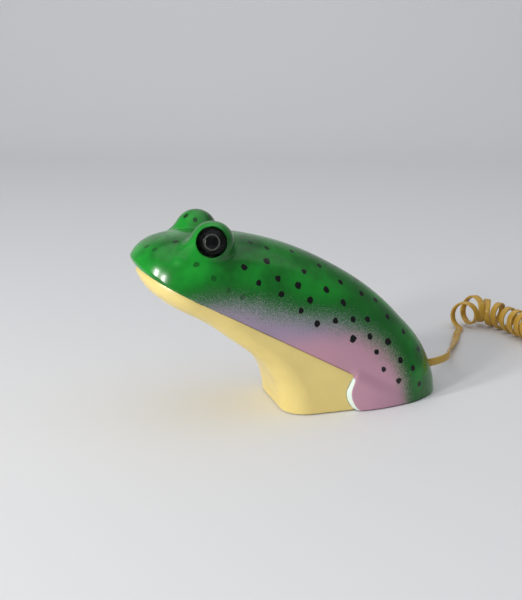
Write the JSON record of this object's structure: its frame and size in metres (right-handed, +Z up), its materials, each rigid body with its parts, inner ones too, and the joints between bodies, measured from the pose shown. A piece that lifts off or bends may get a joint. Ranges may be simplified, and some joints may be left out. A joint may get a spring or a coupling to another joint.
{
  "type": "novelty telephone",
  "caption": "One-piece novelty telephone shaped like a crouching frog, with a keypad and sprung hook plunger under its base and a flat curled line cord.",
  "frame": {"origin": "on the surface that the frog stands on, under the middle of the body's length and width, cord left out", "axes": "+X from snout to rear, +Y the frog's right side, +Z up"},
  "size_m": [0.4369, 0.2435, 0.1605],
  "materials": {
    "painted_shell": "glossy moulded plastic, sprayed green fading through speckle to mauve pink, black spots",
    "cream_shell": "glossy cream moulded plastic",
    "cream_base": "satin cream moulded plastic",
    "black_gloss": "glossy black plastic",
    "iris_ring": "thin pale printed ring",
    "eye_lens": "clear domed plastic lens over a black cup",
    "key_cap": "ivory moulded key",
    "bezel": "dark green satin plastic",
    "rubber": "black rubber",
    "mat": "grey silicone rubber",
    "circuit_board": "brown circuit board",
    "component_black": "moulded black component",
    "component_yellow": "taped winding",
    "capacitor": "sleeved capacitor",
    "steel": "zinc plated steel",
    "brass": "brass",
    "plunger": "ivory plastic",
    "foam": "soft foam ring",
    "cord": "mustard yellow flat cord jacket",
    "plug_clear": "clear modular plug",
    "contact": "gilt contacts"
  },
  "bodies": {
    "body": {"upper_shell": "painted_shell", "lower_shell": "cream_shell", "base_plate": "cream_base", "eye_cup_left": "black_gloss", "eye_cup_right": "black_gloss", "iris_ring_left": "iris_ring", "iris_ring_right": "iris_ring", "pupil_left": "black_gloss", "pupil_right": "black_gloss", "eye_lens_left": "eye_lens", "eye_lens_right": "eye_lens", "keypad_bezel": "bezel", "rubber_domes": "mat", "keypad_mat": "mat", "keypad_board": "circuit_board", "hook_guide": "component_black", "hook_spring": "steel", "hook_switch": "component_black", "ringer_switch_case": "component_black", "tone_switch_case": "component_black", "main_board": "circuit_board", "line_transformer": "component_yellow", "line_relay": "component_black", "dialler_chip": "component_black", "capacitors": "capacitor", "ringer_disc": "brass", "board_screws": "steel", "receiver_grille": "cream_base", "receiver_gasket": "foam", "receiver_capsule": "component_black", "receiver_bracket": "component_black", "receiver_screws": "steel", "microphone_boot": "rubber", "microphone_capsule": "steel", "ballast_weight": "steel", "ballast_screws": "steel", "base_screws": "steel", "rubber_feet": "rubber", "cord_grommet": "cord", "cord_lead": "cord", "cord_coil": "cord", "cord_tail": "cord", "modular_plug": "plug_clear", "plug_contacts": "contact"},
    "key_1_cap": {"key_1": "key_cap"},
    "key_2_cap": {"key_2": "key_cap"},
    "key_3_cap": {"key_3": "key_cap"},
    "key_4_cap": {"key_4": "key_cap"},
    "key_5_cap": {"key_5": "key_cap"},
    "key_6_cap": {"key_6": "key_cap"},
    "key_7_cap": {"key_7": "key_cap"},
    "key_8_cap": {"key_8": "key_cap"},
    "key_9_cap": {"key_9": "key_cap"},
    "key_star_cap": {"key_star": "key_cap"},
    "key_0_cap": {"key_0": "key_cap"},
    "key_hash_cap": {"key_hash": "key_cap"},
    "hook": {"hook_plunger": "plunger"},
    "ringer_knob": {"ringer_switch_knob": "component_black"},
    "tone_knob": {"tone_switch_knob": "component_black"}
  },
  "joints": [
    {"name": "key_1_press", "type": "slide", "parent": "body", "child": "key_1_cap", "axis": [0, 0, 1], "range_m": [0, 0.0012], "stiffness_N_per_m": 500, "deforming": ["rubber_domes"]},
    {"name": "key_2_press", "type": "slide", "parent": "body", "child": "key_2_cap", "axis": [0, 0, 1], "range_m": [0, 0.0012], "stiffness_N_per_m": 500},
    {"name": "key_3_press", "type": "slide", "parent": "body", "child": "key_3_cap", "axis": [0, 0, 1], "range_m": [0, 0.0012], "stiffness_N_per_m": 500},
    {"name": "key_4_press", "type": "slide", "parent": "body", "child": "key_4_cap", "axis": [0, 0, 1], "range_m": [0, 0.0012], "stiffness_N_per_m": 500},
    {"name": "key_5_press", "type": "slide", "parent": "body", "child": "key_5_cap", "axis": [0, 0, 1], "range_m": [0, 0.0012], "stiffness_N_per_m": 500},
    {"name": "key_6_press", "type": "slide", "parent": "body", "child": "key_6_cap", "axis": [0, 0, 1], "range_m": [0, 0.0012], "stiffness_N_per_m": 500},
    {"name": "key_7_press", "type": "slide", "parent": "body", "child": "key_7_cap", "axis": [0, 0, 1], "range_m": [0, 0.0012], "stiffness_N_per_m": 500},
    {"name": "key_8_press", "type": "slide", "parent": "body", "child": "key_8_cap", "axis": [0, 0, 1], "range_m": [0, 0.0012], "stiffness_N_per_m": 500},
    {"name": "key_9_press", "type": "slide", "parent": "body", "child": "key_9_cap", "axis": [0, 0, 1], "range_m": [0, 0.0012], "stiffness_N_per_m": 500},
    {"name": "key_star_press", "type": "slide", "parent": "body", "child": "key_star_cap", "axis": [0, 0, 1], "range_m": [0, 0.0012], "stiffness_N_per_m": 500},
    {"name": "key_0_press", "type": "slide", "parent": "body", "child": "key_0_cap", "axis": [0, 0, 1], "range_m": [0, 0.0012], "stiffness_N_per_m": 500},
    {"name": "key_hash_press", "type": "slide", "parent": "body", "child": "key_hash_cap", "axis": [0, 0, 1], "range_m": [0, 0.0012], "stiffness_N_per_m": 500},
    {"name": "hook_slide", "type": "slide", "parent": "body", "child": "hook", "axis": [0, 0, -1], "range_m": [0, 0.004], "stiffness_N_per_m": 120, "springref_m": 0.007, "deforming": ["hook_spring"]},
    {"name": "ringer_slide", "type": "slide", "parent": "body", "child": "ringer_knob", "axis": [1, 0, 0], "range_m": [-0.0015, 0.0015]},
    {"name": "tone_slide", "type": "slide", "parent": "body", "child": "tone_knob", "axis": [1, 0, 0], "range_m": [-0.0015, 0.0015]}
  ]
}
